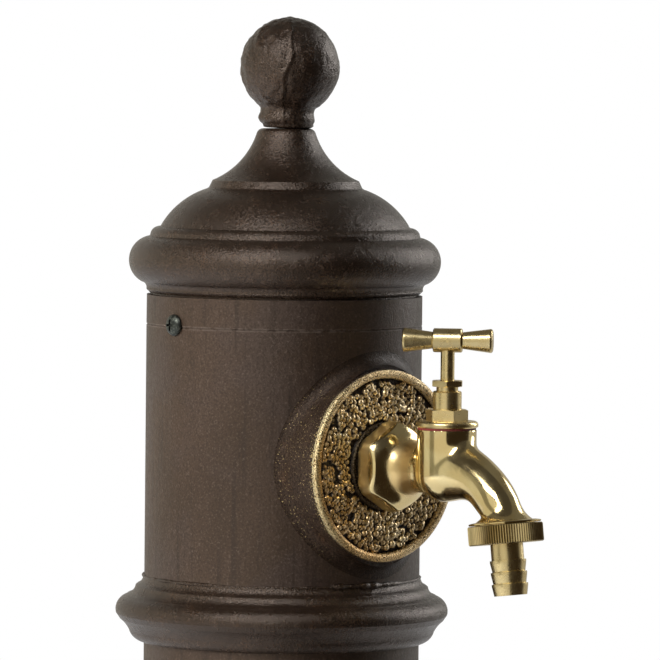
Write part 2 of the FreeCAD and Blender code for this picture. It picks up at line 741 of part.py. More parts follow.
def spindle():
    """Rising spindle: thick thread below, plain stem up into the handle's hub."""
    bottom = jumper_disc_top + face_gap
    thread_top = bottom + spindle_thread_length
    top = handle_height + stem_into_hub
    body = turned((0, bottom), (spindle_thread_radius - 0.4, bottom), (spindle_thread_radius, bottom + 0.4),
                  (spindle_thread_radius, thread_top), (stem_radius, thread_top + 0.6),
                  (stem_radius, top), (0, top))
    socket = rod(jumper_peg_radius + running_gap, bottom - 1, jumper_disc_top + jumper_peg_length + 0.5)
    return at_valve(body.cut([socket, cross_bar(rod(pin_radius, -20, 20), 90)]))


def cross_bar(shape, extra_turn=0.0):
    """Lays a shape made about Z along the handle's bar, or across it with an extra turn of 90."""
    level = shape.rotated(ORIGIN, AXIS_Y, 90).rotated(ORIGIN, AXIS_Z, handle_turn + extra_turn)
    return level.translated(V(0, 0, handle_height))


def handle_hub():
    """Short barrel across the stem's top, bored for the stem, the grips and the pin."""
    half, c = hub_length / 2, hub_chamfer
    barrel = turned((0, -half), (hub_radius - c, -half), (hub_radius, c - half), (hub_radius, half - c),
                    (hub_radius - c, half), (0, half))
    stub_hole = rod(grip_stub_radius, half - grip_stub_length, half + 1)
    stub_hole_back = rod(grip_stub_radius, -half - 1, grip_stub_length - half)
    bores = [cross_bar(stub_hole), cross_bar(stub_hole_back), cross_bar(rod(pin_radius, -20, 20), 90),
             rod(stem_radius, 0, handle_height + stem_into_hub)]
    return at_valve(cross_bar(barrel).cut(bores))


def handle_grip(turn):
    """One flared grip with its stub in the hub."""
    root = hub_length / 2
    end = root + grip_length
    e = grip_end_round
    grip = turned((0, root), (grip_root_radius - 0.3, root), (grip_root_radius, root + 0.5),
                  (grip_end_radius, end - 2 * e),
                  ((grip_end_radius - 0.35 * e, end - 0.5 * e), (grip_end_radius - 1.6 * e, end)),
                  (0, end + 0.15 * e))
    stub = rod(grip_stub_radius, root - grip_stub_length, root + 1)
    return at_valve(cross_bar(grip.fuse(stub), turn))


def handle_pin():
    half = hub_radius - pin_recess
    return at_valve(cross_bar(rod(pin_radius, -half, half), 90))


# Hose union: distances are below the outlet's flange

tail_flange_top = outlet_thread_length + tail_washer_thickness
tail_end = nut_length + tail_shank + tail_barb_count * tail_barb_pitch


def union_nut():
    """Knurled nut, held up by its inner lip under the tail's flange."""
    points = []
    for i in range(2 * nut_knurls + 1):
        radius = nut_radius if i % 2 else nut_radius - nut_knurl_depth
        angle = math.pi * i / nut_knurls
        points.append(V(radius * math.cos(angle), radius * math.sin(angle), face_gap))
    knurled = Part.Face(Part.makePolygon(points)).extrude(V(0, 0, nut_length - face_gap))
    c = nut_chamfer
    edge = turned((0, face_gap), (nut_radius - c, face_gap), (nut_radius + 0.1, face_gap + c + 0.1),
                  (nut_radius + 0.1, nut_length - c - 0.1), (nut_radius - c, nut_length), (0, nut_length))
    bores = [rod(outlet_thread_radius + running_gap, -1, nut_length - nut_lip),
             rod(tail_radius + face_gap, 0, nut_length + 1)]
    return at_outlet(knurled.common(edge).cut(bores))


def tail_washer():
    return at_outlet(ring(tail_flange_radius, tail_bore_radius, outlet_thread_length + seat_closing_gap,
                          tail_flange_top))


def hose_tail():
    """Barbed nozzle: a flange under the washer, a plain shank and three barbs."""
    flange_bottom = tail_flange_top + tail_flange_thickness
    path = [(tail_flange_radius, tail_flange_top), (tail_flange_radius, flange_bottom),
            (tail_radius, flange_bottom), (tail_radius, nut_length + tail_shank)]
    for i in range(tail_barb_count):
        start = nut_length + tail_shank + i * tail_barb_pitch
        path += [(tail_barb_radius, start), (tail_barb_radius, start + tail_barb_land),
                 (tail_root_radius, start + tail_barb_pitch)]
    path += [(tail_bore_radius, tail_end)]
    return at_outlet(turned((tail_bore_radius, tail_flange_top), *path))


nodes = {
    "foot_casting": foot_casting, "foot_set_screws": foot_set_screws, "column_tube": column_tube,
    "mid_ring": mid_ring, "cap_dome": cap_dome, "cap_screws": cap_screws, "finial_ball": finial_ball,
    "finial_stud": finial_stud, "finial_washer": finial_washer, "finial_nut": finial_nut,
    "boss_casting": boss_casting, "rosette_plate": rosette_plate, "bulkhead_fitting": bulkhead_fitting,
    "bulkhead_nut": bulkhead_nut, "supply_elbow": supply_elbow, "riser_pipe": riser_pipe,
    "inlet_coupling": inlet_coupling, "tap_body": tap_body,
    "inlet_washer": inlet_washer, "bonnet_washer": bonnet_washer, "bonnet": bonnet,
    "packing_ring": packing_ring, "gland_nut": gland_nut, "jumper": jumper, "jumper_washer": jumper_washer,
    "jumper_nut": jumper_nut, "spindle": spindle, "handle_hub": handle_hub,
    "handle_grip_right": lambda: handle_grip(0), "handle_grip_left": lambda: handle_grip(180),
    "handle_pin": handle_pin, "union_nut": union_nut, "tail_washer": tail_washer, "hose_tail": hose_tail,
}

os.makedirs("parts", exist_ok=True)
for name, make in nodes.items():
    shape = make()
    for solid in shape.Solids:
        if not solid.isValid() or solid.Volume <= 0:
            raise ValueError(name + " is not a valid solid")
    shape.exportStep("parts/" + name + ".step")
    print(name, len(shape.Solids), "solid(s)", round(shape.Volume / 1000, 2), "cm3")
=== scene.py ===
import bmesh
import bpy
import json
import math
import random
from mathutils import Matrix, Vector, noise


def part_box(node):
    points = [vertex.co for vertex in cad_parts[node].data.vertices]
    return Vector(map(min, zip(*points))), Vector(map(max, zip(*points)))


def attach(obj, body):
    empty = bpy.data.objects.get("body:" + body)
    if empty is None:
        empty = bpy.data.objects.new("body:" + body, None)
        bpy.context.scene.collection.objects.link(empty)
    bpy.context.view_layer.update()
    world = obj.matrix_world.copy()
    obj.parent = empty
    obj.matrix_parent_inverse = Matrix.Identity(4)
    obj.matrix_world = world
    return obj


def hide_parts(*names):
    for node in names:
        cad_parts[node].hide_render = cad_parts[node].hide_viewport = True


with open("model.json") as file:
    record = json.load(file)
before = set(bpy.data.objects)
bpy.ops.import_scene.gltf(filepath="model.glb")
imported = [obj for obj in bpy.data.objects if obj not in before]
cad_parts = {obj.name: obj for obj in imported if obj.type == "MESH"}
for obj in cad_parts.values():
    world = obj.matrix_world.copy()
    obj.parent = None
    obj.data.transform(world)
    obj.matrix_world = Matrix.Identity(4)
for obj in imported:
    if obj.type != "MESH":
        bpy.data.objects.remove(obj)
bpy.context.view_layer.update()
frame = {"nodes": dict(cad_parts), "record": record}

MM = 0.001
WORLD_FILL = 0.08        # strength of the white surroundings as a light

# The photograph is 660 pixels square and taken from the left front of the tap
PHOTO_WIDTH = 660
FOCAL_PIXELS = 6078.0
SENSOR_WIDTH = 36.0
CAMERA_DISTANCE = 2796 * MM
CAMERA_ABOVE_TAP = 190.4 * MM
CAMERA_SWING = math.radians(42.84)      # angle between the tap's direction and the camera's
CAMERA_AIM_RIGHT = math.radians(0.431)
CAMERA_AIM_DOWN = math.radians(2.69)
CAMERA_ROLL = math.radians(0.58)

# Places read from the boxes of the nodes
plate_low, plate_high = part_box("rosette_plate")
TAP_HEIGHT = (plate_low.z + plate_high.z) / 2
PLATE_RADIUS = (plate_high.z - plate_low.z) / 2
PLATE_BACK = -plate_high.y
PLATE_FRONT = -plate_low.y
tube_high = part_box("column_tube")[1]
TUBE_RADIUS = tube_high.x
TUBE_TOP = tube_high.z
RING_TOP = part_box("mid_ring")[1].z
spindle_low, spindle_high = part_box("spindle")
VALVE_Y = (spindle_low.y + spindle_high.y) / 2
ball_low, ball_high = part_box("finial_ball")
BALL_GAP = ball_low.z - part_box("cap_dome")[1].z     # between the ball's neck and the cap

# Sizes that the boxes don't give
BALL_RADIUS = 23.2 * MM
SCRIBED_LINE_BELOW_TOP = 13.6 * MM
HEXAGON_BACK = -69.2 * MM               # back of the tap's inlet hexagon
NECK_END = VALVE_Y + 13.4 * MM          # where the tap's neck meets its barrel
OUTLET_TILT = math.radians(7.6)         # the outlet leans away from the column
OUTLET_Y = VALVE_Y - 37.5 * MM
OUTLET_DROP = 21.3 * MM                 # of the outlet's flange below the inlet axis
OUTLET_FLANGE = (16.2 * MM, 0.9 * MM)   # radius and thickness
OUTLET_THREAD = (13.2 * MM, 4.4 * MM)   # radius and length
OUTLET_BORE = 5.8 * MM
TAIL_RADIUS = 8.1 * MM                  # over its barbs
NUT_RADIUS = 16.8 * MM
PLATE_HUB_RADIUS = 20.0 * MM
PLATE_GROUND_RADIUS = 39.4 * MM
PLATE_GROUND = PLATE_BACK + 2.2 * MM

# Axes of the tap, by a point on each, and the turns that bring Z onto them
INLET_AXIS = (0, 0, TAP_HEIGHT)
VALVE_AXIS = (0, VALVE_Y, 0)
OUTLET_AXIS = (0, OUTLET_Y, TAP_HEIGHT - OUTLET_DROP)
OUTLET_TURN = (-OUTLET_TILT, 0, 0)
OUTLET_DOWN = Vector((0, -math.sin(OUTLET_TILT), -math.cos(OUTLET_TILT)))
OUT_OF_WALL = Matrix(((1, 0, 0, 0), (0, 0, -1, 0), (0, 1, 0, 0), (0, 0, 0, 1)))
FROM_WALL = Matrix.Translation(INLET_AXIS) @ OUT_OF_WALL

# Paint
PAINT_BROWN = (0.022, 0.012, 0.007)
PAINT_TINT = (1.0, 0.82, 0.70)          # colour of its gloss
CASTING_DEPTH = 0.6 * MM                # of the sand casting's grain

# Studio
CLOTH_AWAY = 3.6
CLOTH_TOP = 3.0
CLOTH_FOOT = 0.002
CEILING = 2.99
WALL = [(CLOTH_AWAY, CLOTH_TOP), (CLOTH_AWAY, CLOTH_FOOT)]
OVERHEAD = [(0.02, CEILING), (CLOTH_AWAY, CEILING)]


class Socket:
    """One output of a node, which adds and multiplies like a number."""

    def __init__(self, finish, output):
        self.finish = finish
        self.output = output

    def combine(self, operation, first, second):
        return self.finish.node("ShaderNodeMath", {"operation": operation}, {0: first, 1: second})

    def __add__(self, other):
        return self.combine("ADD", self, other)

    def __radd__(self, other):
        return self.combine("ADD", other, self)

    def __sub__(self, other):
        return self.combine("SUBTRACT", self, other)

    def __rsub__(self, other):
        return self.combine("SUBTRACT", other, self)

    def __mul__(self, other):
        return self.combine("MULTIPLY", self, other)

    def __rmul__(self, other):
        return self.combine("MULTIPLY", other, self)


class Finish:
    """The nodes of a material or of the world."""

    def __init__(self, owner):
        owner.use_nodes = True
        self.owner = owner
        self.tree = owner.node_tree
        self.tree.nodes.clear()

    def node(self, kind, settings=None, inputs=None, output=0):
        """Adds a node: its settings are set first, then the values or links of its sockets."""
        made = self.tree.nodes.new(kind)
        for name, value in (settings or {}).items():
            setattr(made, name, value)
        for name, value in (inputs or {}).items():
            if isinstance(value, Socket):
                self.tree.links.new(value.output, made.inputs[name])
            else:
                plain = made.inputs[name]
                plain.default_value = rgba(value) if plain.type == "RGBA" else value
        return Socket(self, made.outputs[output]) if made.outputs else None

    def point(self):
        """The point on the object, in metres."""
        return self.node("ShaderNodeTexCoord", output="Object")

    def coordinate(self, axis):
        """One coordinate of the point on the object."""
        return self.node("ShaderNodeSeparateXYZ", {}, {0: self.point()}, output=axis)

    def moved(self, centre=(0, 0, 0), turn=(0, 0, 0), stretch=(1, 1, 1)):
        """The point on the object, seen from a turned frame at a centre, whose axes are stretched."""
        return self.node("ShaderNodeMapping", {"vector_type": "TEXTURE"}, {
            "Vector": self.point(), "Location": centre, "Rotation": turn, "Scale": stretch})

    def away(self, centre, turn=(0, 0, 0), across=(1, 1, 0)):
        """Distance from the line that a centre and a turn place, measured along the axes across it."""
        arm = self.node("ShaderNodeVectorMath", {"operation": "MULTIPLY"},
                        {0: self.moved(centre, turn), 1: across})
        return self.node("ShaderNodeVectorMath", {"operation": "LENGTH"}, {0: arm}, output="Value")

    def noise(self, size, detail=3.0, roughness=0.5, point=None):
        """Noise from 0 to 1 whose lumps are about that many metres across."""
        return self.node("ShaderNodeTexNoise", {}, {
            "Vector": point or self.point(), "Scale": 1.0 / size, "Detail": detail, "Roughness": roughness})

    def between(self, value, low, high, to_low=0.0, to_high=1.0):
        """Maps one range of a value onto another, smoothly, and holds it there outside."""
        return self.node("ShaderNodeMapRange", {"interpolation_type": "SMOOTHSTEP"}, {
            "Value": value, "From Min": low, "From Max": high, "To Min": to_low, "To Max": to_high})

    def mixed(self, share, first, second):
        """Colour between two colours."""
        return self.node("ShaderNodeMix", {"data_type": "RGBA"},
                         {"Factor": share, 6: first, 7: second}, output=2)

    def bump(self, height, depth):
        """Normal bent by a height, where 1 stands for that depth in metres."""
        return self.node("ShaderNodeBump", {}, {"Height": height, "Distance": depth, "Strength": 1.0})

    def surface(self, inputs):
        """Ends a material in one Principled surface."""
        shader = self.node("ShaderNodeBsdfPrincipled", {}, inputs)
        self.node("ShaderNodeOutputMaterial", {}, {"Surface": shader})
        return self.owner


def rgba(colour):
    """A colour of three numbers with its alpha."""
    return (*colour, 1.0)


def new_finish(name):
    return Finish(bpy.data.materials.new(name))


def casting_grain(m):
    """Grains of sand and wider lumps on a rough casting."""
    return m.noise(0.9 * MM, 3.0, 0.62), m.noise(4.5 * MM, 2.0, 0.5)


def paint_coat(m, grit, lumps):
    """Brown of the paint on every casting, from its grains and its lumps."""
    blotch = m.noise(26 * MM, 3.0, 0.55)
    rust = m.noise(11 * MM, 4.0, 0.6)
    brown = m.mixed(m.between(blotch, 0.35, 0.68), PAINT_BROWN, (0.038, 0.023, 0.015))
    brown = m.mixed(m.between(rust, 0.55, 0.75, 0.0, 0.6), brown, (0.056, 0.027, 0.013))
    brown = m.mixed(m.between(grit, 0.38, 0.54, 0.85, 0.0), brown, (0.006, 0.003, 0.002))
    return m.mixed(m.between(grit * 0.7 + lumps * 0.3, 0.56, 0.68, 0.0, 0.5), brown, (0.110, 0.072, 0.048))


def painted_casting():
    """Dark brown paint over a rough sand casting."""
    m = new_finish("painted_casting")
    grit, lumps = casting_grain(m)
    return m.surface({"Base Color": paint_coat(m, grit, lumps), "Specular IOR Level": 0.75,
                      "Specular Tint": PAINT_TINT, "Roughness": m.between(lumps, 0.3, 0.7, 0.20, 0.28),
                      "Normal": m.bump(grit * 0.65 + lumps * 0.35, CASTING_DEPTH)})


def painted_boss():
    """The casting's paint, with gold that was brushed past the face plate's edge."""
    m = new_finish("painted_boss")
    grit, lumps = casting_grain(m)
    spatter = m.noise(0.8 * MM, 2.0, 0.6)
    near = m.between(m.coordinate("Y") * -1.0, PLATE_FRONT - 6.5 * MM, PLATE_FRONT - 0.6 * MM)
    worn_side = m.between(m.coordinate("X"), -42 * MM, -20 * MM, 1.0, 0.0)
    fleck = m.between(spatter + near * 0.16 * worn_side, 0.66, 0.70) * worn_side
    colour = m.mixed(fleck, paint_coat(m, grit, lumps), (0.62, 0.47, 0.22))
    return m.surface({"Base Color": colour, "Specular IOR Level": 0.3, "Specular Tint": PAINT_TINT,
                      "Roughness": m.between(lumps, 0.3, 0.7, 0.34, 0.44),
                      "Metallic": fleck * 0.8,
                      "Normal": m.bump(grit * 0.65 + lumps * 0.35, CASTING_DEPTH)})


def painted_tube():
    """The same paint on smooth pipe: fine specks, brushed streaks, and a painted highlight along the scribed
    line below the cap.
    """
    m = new_finish("painted_tube")
    specks = m.noise(0.95 * MM, 3.0, 0.65)
    peel = m.noise(2.4 * MM, 2.0, 0.5)
    streaks = m.noise(4.2 * MM, 3.0, 0.55, m.moved(stretch=(1, 1, 20)))
    blotch = m.noise(50 * MM, 3.0, 0.55, m.moved(stretch=(1, 1, 2.2)))
    hue = m.noise(33 * MM, 2.0, 0.5)
    brown = m.mixed(m.between(blotch, 0.35, 0.65), (0.034, 0.020, 0.012), (0.048, 0.029, 0.019))
    brown = m.mixed(m.between(hue, 0.45, 0.65, 0.0, 0.7), brown, (0.046, 0.031, 0.026))
    brown = m.mixed(m.between(streaks, 0.54, 0.68, 0.0, 0.7), brown, (0.019, 0.012, 0.009))
    brown = m.mixed(m.between(specks, 0.38, 0.50, 0.6, 0.0), brown, (0.015, 0.010, 0.007))
    brown = m.mixed(m.between(specks, 0.56, 0.70, 0.0, 0.6), brown, (0.115, 0.086, 0.068))
    line = m.node("ShaderNodeMath", {"operation": "ABSOLUTE"},
                  {0: m.coordinate("Z") - (TUBE_TOP - SCRIBED_LINE_BELOW_TOP)})
    # Painted highlight: a lighter band along the scribed line, broken up by the peel noise
    scribed_line_highlight = m.between(line, 0.5 * MM, 1.1 * MM, 1.0, 0.0) * m.between(peel, 0.35, 0.6)
    colour = m.mixed(scribed_line_highlight * 0.6, brown, (0.13, 0.10, 0.08))
    height = specks * 0.55 + peel * 0.3 + streaks * 0.15
    return m.surface({"Base Color": colour, "Roughness": m.between(peel, 0.3, 0.7, 0.36, 0.46),
                      "Specular IOR Level": 0.6, "Specular Tint": PAINT_TINT,
                      "Normal": m.bump(height, 0.32 * MM)})


def polished_brass():
    """Cast brass, buffed bright, with the soft waves and dull patches that buffing leaves."""
    m = new_finish("polished_brass")
    waves = m.noise(11 * MM, 2.0, 0.4)
    dull = m.noise(7 * MM, 3.0, 0.55)
    specks = m.noise(0.7 * MM, 2.0, 0.6)
    neck = m.between(m.away(INLET_AXIS, across=(1, 0, 1)), 11 * MM, 15.5 * MM, 1.0, 0.0)
    # Where the neck meets the barrel: rougher, and painted orange-brown shade mixed into the colour
    dull_shaded_corner = neck * m.between(m.coordinate("Y"), NECK_END - 1.5 * MM, NECK_END + 1.5 * MM)
    flats = m.between(m.coordinate("Y"), HEXAGON_BACK - 9 * MM, HEXAGON_BACK - 6 * MM)
    colour = m.mixed(m.between(waves, 0.35, 0.65), (0.80, 0.63, 0.31), (0.87, 0.72, 0.39))
    colour = m.mixed(dull_shaded_corner * 0.5, colour, (0.80, 0.52, 0.20))
    colour = m.mixed(m.between(specks, 0.66, 0.76, 0.0, 0.35), colour, (0.40, 0.26, 0.11))
    roughness = m.between(dull, 0.35, 0.65, 0.11, 0.19) + (dull_shaded_corner + flats) * 0.22
    return m.surface({"Base Color": colour, "Metallic": 1.0, "Roughness": roughness,
                      "Normal": m.bump(waves, 0.10 * MM)})


def turned_brass(name, centre, turn, shade=1.0, dullness=0.0, grooves=()):
    """Brass from the lathe: fine rings round an axis, a colour that a shade factor darkens as painted shade,
    and painted shade in a knurl's grooves between two radii.
    """
    m = new_finish(name)
    rings = m.noise(0.45 * MM, 3.0, 0.7, m.moved(centre, turn, (40, 40, 1)))
    stain = m.noise(5 * MM, 4.0, 0.55)
    # The shade factor darkens the brass's colour: painted shade
    colour = m.mixed(m.between(stain, 0.35, 0.7), tuple(c * shade for c in (0.76, 0.60, 0.30)),
                     tuple(c * shade for c in (0.81, 0.66, 0.35)))
    colour = m.mixed(m.between(stain + rings * 0.3, 0.80, 0.98, 0.0, 0.3), colour, (0.34, 0.22, 0.09))
    # Painted shade: dark colour on the knurl's grooves, between two radii
    if grooves:
        bottom, top = grooves
        reach = m.away(centre, turn)
        side = m.between(reach, bottom - 0.5 * MM, bottom - 0.3 * MM)
        colour = m.mixed(m.between(reach, bottom, top, 0.7, 0.0) * side, colour, (0.14, 0.085, 0.03))
    return m.surface({"Base Color": colour, "Metallic": 1.0,
                      "Roughness": m.between(stain * 0.8 + rings * 0.2, 0.35, 0.65, 0.26, 0.31) + dullness,
                      "Normal": m.bump(rings, 0.015 * MM)})


def antique_gold(name, pitting, depth, crevices=False):
    """Gold-coloured casting whose hollows keep a dark patina, with a painted highlight on its highest beads
    and a painted shadow over the plate's middle; the plate's side has the column's paint.
    """
    m = new_finish(name)
    grain = m.noise(0.75 * MM, 4.0, 0.65)
    stain = m.noise(8 * MM, 3.0, 0.55)
    lumps = m.noise(3.0 * MM, 2.0, 0.5)
    out = m.coordinate("Y") * -1.0
    reach = m.away(INLET_AXIS, across=(1, 0, 1))
    raised = m.between(out + (grain - 0.5) * (1.0 * MM), PLATE_GROUND + 0.55 * MM, PLATE_GROUND + 1.5 * MM)
    pits = m.between(grain, 0.34, 0.50, 1.0, 0.0) * pitting
    slant = m.coordinate("X") + (m.coordinate("Z") - TAP_HEIGHT) * 0.8
    low_left = m.between(slant, -45 * MM, -8 * MM, 1.0, 0.0)
    gold = m.mixed(m.between(stain, 0.35, 0.7), (0.76, 0.55, 0.28), (0.98, 0.78, 0.46))
    gold = m.mixed(low_left * 0.6, gold, (0.68, 0.38, 0.11))
    gold = m.mixed(pits, gold, (0.075, 0.045, 0.020))
    field = m.between(reach, PLATE_GROUND_RADIUS - 0.4 * MM, PLATE_GROUND_RADIUS + 0.2 * MM, 1.0, 0.0)
    # Painted highlight: lighter gold on the highest parts of the beads, within the flowered ground
    bead_top_highlight = m.between(out, PLATE_GROUND + 1.6 * MM, PLATE_GROUND + 2.7 * MM, 0.0, 0.7)
    gold = m.mixed(bead_top_highlight * field, gold, (1.0, 0.87, 0.58))
    if crevices:
        hollow = m.node("ShaderNodeAttribute", {"attribute_name": "hollow"}, output="Fac")
        gold = m.mixed(m.between(hollow, -0.025, 0.045, 0.0, 0.95), gold, (0.040, 0.024, 0.012))
    # Painted shadow: dark colour over the plate's middle, inside the flowers
    hub_shadow = m.between(reach, PLATE_HUB_RADIUS + 0.1 * MM, PLATE_HUB_RADIUS + 0.5 * MM, 0.9, 0.0)
    colour = m.mixed(hub_shadow, m.mixed(raised, PAINT_BROWN, gold), (0.030, 0.018, 0.010))
    edge = m.between(reach, PLATE_RADIUS - 2.4 * MM, PLATE_RADIUS - 1.0 * MM)
    worn_edge = m.between(m.coordinate("X"), -38 * MM, -18 * MM, 1.0, 0.0) * edge
    colour = m.mixed(worn_edge * m.between(grain, 0.40, 0.56), colour, (0.92, 0.76, 0.42))
    side = m.between(reach + (grain - 0.5) * (1.4 * MM) - worn_edge * (0.5 * MM), PLATE_RADIUS - 0.55 * MM,
                     PLATE_RADIUS - 0.15 * MM)
    colour = m.mixed(side, colour, paint_coat(m, grain, lumps))
    metal = m.between(raised, 0.0, 1.0, 0.2, 0.85) * (1 - side)
    return m.surface({"Base Color": colour, "Metallic": metal,
                      "Roughness": m.between(grain, 0.3, 0.7, 0.22, 0.35),
                      "Normal": m.bump(grain * 0.7 + lumps * 0.3, depth)})


def red_fibre():
    m = new_finish("red_fibre")
    fibre = m.noise(0.5 * MM, 3.0, 0.6)
    colour = m.mixed(fibre, (0.13, 0.014, 0.011), (0.22, 0.028, 0.020))
    return m.surface({"Base Color": colour, "Roughness": 0.6, "Normal": m.bump(fibre, 0.05 * MM)})


def sealing_rubber():
    m = new_finish("sealing_rubber")
    bloom = m.noise(1.5 * MM, 3.0, 0.6)
    colour = m.mixed(bloom, (0.016, 0.016, 0.016), (0.035, 0.035, 0.035))
    return m.surface({"Base Color": colour, "Roughness": 0.65, "Normal": m.bump(bloom, 0.05 * MM)})


def zinc_plate():
    m = new_finish("zinc_plate")
    spangle = m.noise(3 * MM, 3.0, 0.6)
    colour = m.mixed(spangle, (0.48, 0.49, 0.50), (0.62, 0.63, 0.64))
    return m.surface({"Base Color": colour, "Metallic": 1.0,
                      "Roughness": m.between(spangle, 0.3, 0.7, 0.3, 0.45),
                      "Normal": m.bump(spangle, 0.04 * MM)})


def dark_screw():
    m = new_finish("dark_screw")
    wear = m.noise(1.2 * MM, 3.0, 0.6)
    colour = m.mixed(m.between(wear, 0.45, 0.7), (0.05, 0.055, 0.05), (0.16, 0.17, 0.14))
    return m.surface({"Base Color": colour, "Metallic": 0.8,
                      "Roughness": m.between(wear, 0.3, 0.7, 0.3, 0.5),
                      "Normal": m.bump(wear, 0.05 * MM)})


left_grip, right_grip = [sum(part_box(name), Vector()) / 2
                         for name in ("handle_grip_left", "handle_grip_right")]
grip_heading = math.atan2(right_grip.y - left_grip.y, right_grip.x - left_grip.x)
finishes = {
    "painted_casting": painted_casting(), "painted_boss": painted_boss(), "painted_tube": painted_tube(),
    "polished_brass": polished_brass(), "turned_brass": turned_brass("turned_brass", VALVE_AXIS, (0, 0, 0)),
    # The hose, nut and grip brass are copies of the turned brass darkened as painted shade
    "hose_brass": turned_brass("hose_brass", OUTLET_AXIS, OUTLET_TURN, 0.95),
    "nut_brass": turned_brass("nut_brass", OUTLET_AXIS, OUTLET_TURN, 0.95, 0.03,
                              (NUT_RADIUS - 0.5 * MM, NUT_RADIUS - 0.05 * MM)),
    "grip_brass": turned_brass("grip_brass", tuple(left_grip), (0, math.pi / 2, grip_heading), 0.84),
    "antique_gold": antique_gold("antique_gold", 1.0, 0.55 * MM),
    "flower_gold": antique_gold("flower_gold", 0.2, 0.14 * MM, True),
    "red_fibre": red_fibre(), "sealing_rubber": sealing_rubber(), "zinc_plate": zinc_plate(),
    "dark_screw": dark_screw(),
}
finish_of_slot = {
    "cast_iron": "painted_casting", "painted_tube": "painted_tube", "aged_brass": "antique_gold",
    "polished_brass": "polished_brass", "turned_brass": "turned_brass", "zinc_steel": "zinc_plate",
    "dark_screw": "dark_screw", "red_fibre": "red_fibre", "black_rubber": "sealing_rubber",
}
finish_of_node = {
    "boss_casting": "painted_boss", "hose_tail": "hose_brass", "union_nut": "nut_brass",
    "handle_hub": "grip_brass", "handle_grip_left": "grip_brass", "handle_grip_right": "grip_brass",
}


def paint(piece, finish):
    piece.data.materials.clear()
    piece.data.materials.append(finishes[finish])


for part in frame["record"]["subparts"]:
    node = part["node"]
    paint(frame["nodes"][node], finish_of_node.get(node, finish_of_slot[part["material_slot"]]))


# New pieces

def heading_of(point):
    """Bearing of a point round Z from the side that the photograph shows, from -pi to pi."""
    return (math.atan2(point.x, -point.y) + CAMERA_SWING + math.pi) % math.tau - math.pi


def from_inlet(point):
    """Distance of a point from the inlet's axis."""
    return math.hypot(point.x, point.z - TAP_HEIGHT)


def from_valve(point):
    """Distance of a point from the valve's axis."""
    return math.hypot(point.x, point.y - VALVE_Y)


def copy_of(node):
    """A node's mesh with its loose triangles joined up."""
    mesh = bmesh.new()
    mesh.from_mesh(frame["nodes"][node].data)
    bmesh.ops.remove_doubles(mesh, verts=mesh.verts, dist=0.001 * MM)
    return mesh


def one_skin(mesh, fineness):
    """Fuses overlapping forms into one skin of small even faces."""
    data = bpy.data.meshes.new("form")
    mesh.to_mesh(data)
    form = bpy.data.objects.new("form", data)
    bpy.context.collection.objects.link(form)
    change = form.modifiers.new("skin", "REMESH")
    change.mode = "VOXEL"
    change.voxel_size = fineness
    seen = form.evaluated_get(bpy.context.evaluated_depsgraph_get())
    skin = bpy.data.meshes.new_from_object(seen)
    bpy.data.objects.remove(form)
    mesh.clear()
    mesh.from_mesh(skin)
    bpy.data.meshes.remove(skin)


def soften(mesh, rounds, where=None):
    """Smooths the points that a test picks."""
    picked = [v for v in mesh.verts if where is None or where(v.co)]
    for _ in range(rounds):
        bmesh.ops.smooth_vert(mesh, verts=picked, factor=0.5,
                              use_axis_x=True, use_axis_y=True, use_axis_z=True)


def full_spin(mesh, points, edges, steps):
    """Spins points and their edges once round Z."""
    bmesh.ops.spin(mesh, geom=points + edges, cent=(0, 0, 0), axis=(0, 0, 1), angle=math.tau, steps=steps,
                   use_merge=True)


def turn_round(mesh, profile, place):
    """Spins a closed profile of (radius, height) points about Z and puts it in its place."""
    before = set(mesh.verts)
    points = [mesh.verts.new((radius, 0, height)) for radius, height in profile]
    edges = [mesh.edges.new(pair) for pair in zip(points, points[1:] + points[:1])]
    full_spin(mesh, points, edges, 96)
    bmesh.ops.transform(mesh, matrix=place, verts=[v for v in mesh.verts if v not in before])


def finished(mesh, name, finish, sharp=math.pi, body="root", stands_for=()):
    """Makes a piece of a bmesh, smooth but for its sharp edges, and lets it ride on its body."""
    bmesh.ops.recalc_face_normals(mesh, faces=mesh.faces)
    for edge in mesh.edges:
        edge.smooth = edge.calc_face_angle(0) < sharp
    for face in mesh.faces:
        face.smooth = True
    data = bpy.data.meshes.new(name)
    mesh.to_mesh(data)
    mesh.free()
    piece = bpy.data.objects.new(name, data)
    bpy.context.collection.objects.link(piece)
    paint(piece, finish)
    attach(piece, body)
    if stands_for:
        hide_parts(*stands_for)
    return piece


